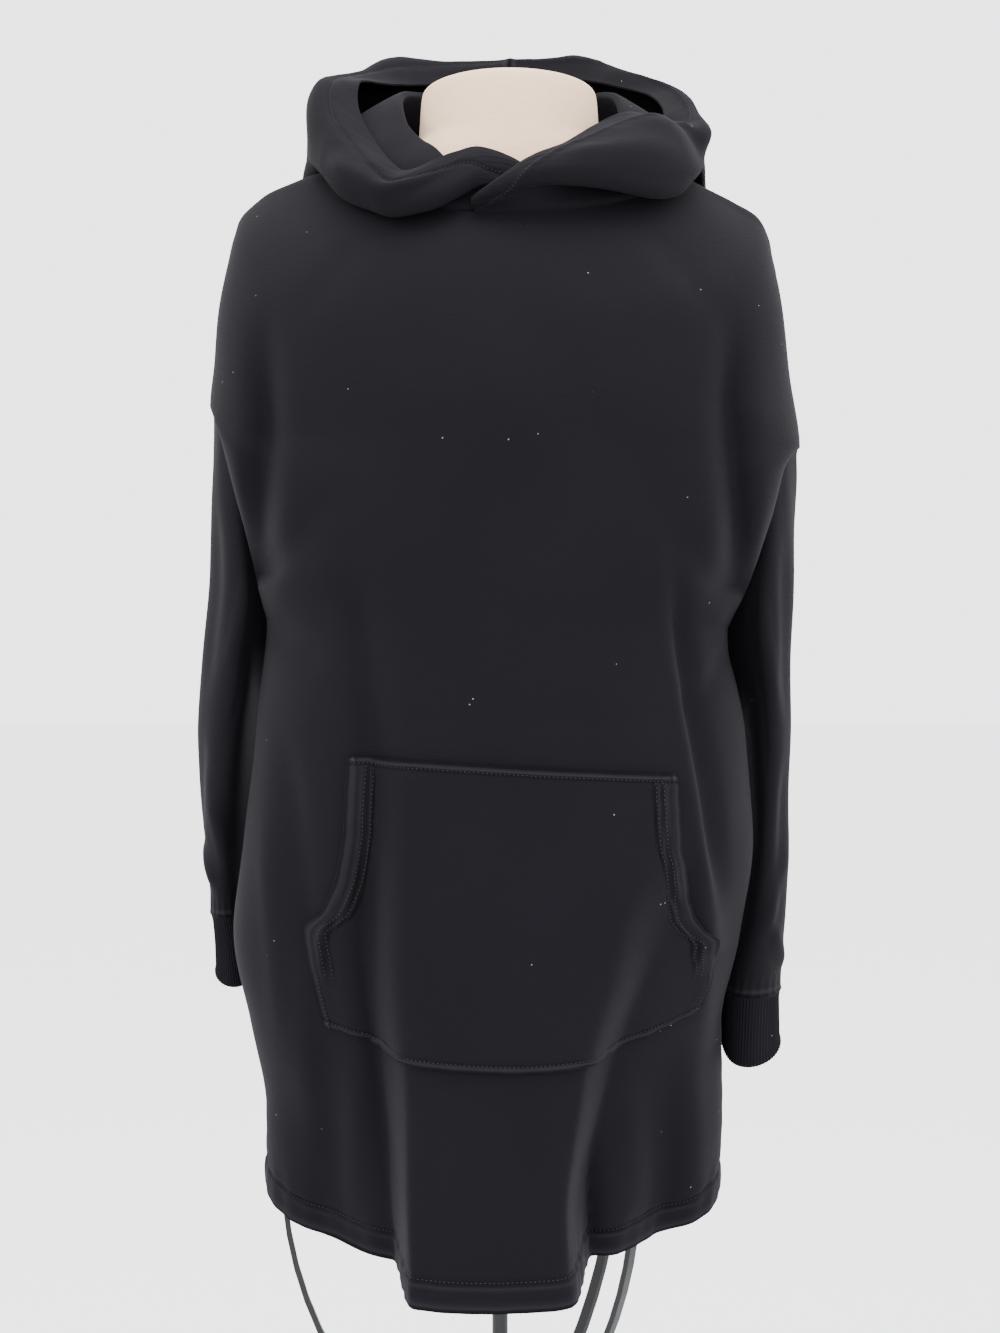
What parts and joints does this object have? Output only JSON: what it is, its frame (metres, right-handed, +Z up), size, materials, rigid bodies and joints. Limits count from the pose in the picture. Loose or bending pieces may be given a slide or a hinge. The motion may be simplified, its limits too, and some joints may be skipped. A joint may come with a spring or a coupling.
{
  "type": "hoodie dress on dress form",
  "caption": "Black fleece hoodie dress with a kangaroo pocket and drop shoulders, worn by a limbless linen dress form on a black pole stand.",
  "frame": {"origin": "centre of the base's underside, on the pole's axis", "axes": "+Z up along the pole, -Y to the garment's front, +X to the wearer's left"},
  "size_m": [0.4968, 0.4395, 1.5346],
  "materials": {
    "black_fleece": "matte cotton fleece, fine jersey face",
    "linen": "plain linen cover",
    "black_metal": "satin black"
  },
  "bodies": {
    "root": {"dress_front": "black_fleece", "dress_back": "black_fleece", "sleeve_right": "black_fleece", "sleeve_left": "black_fleece", "cuff_right": "black_fleece", "cuff_left": "black_fleece", "hood_right": "black_fleece", "hood_left": "black_fleece", "pocket": "black_fleece", "form_torso": "linen", "form_plate": "black_metal", "form_rib_1": "black_metal", "form_rib_2": "black_metal", "form_rib_3": "black_metal", "form_collar": "black_metal", "form_pole": "black_metal", "form_base": "black_metal"}
  },
  "joints": []
}
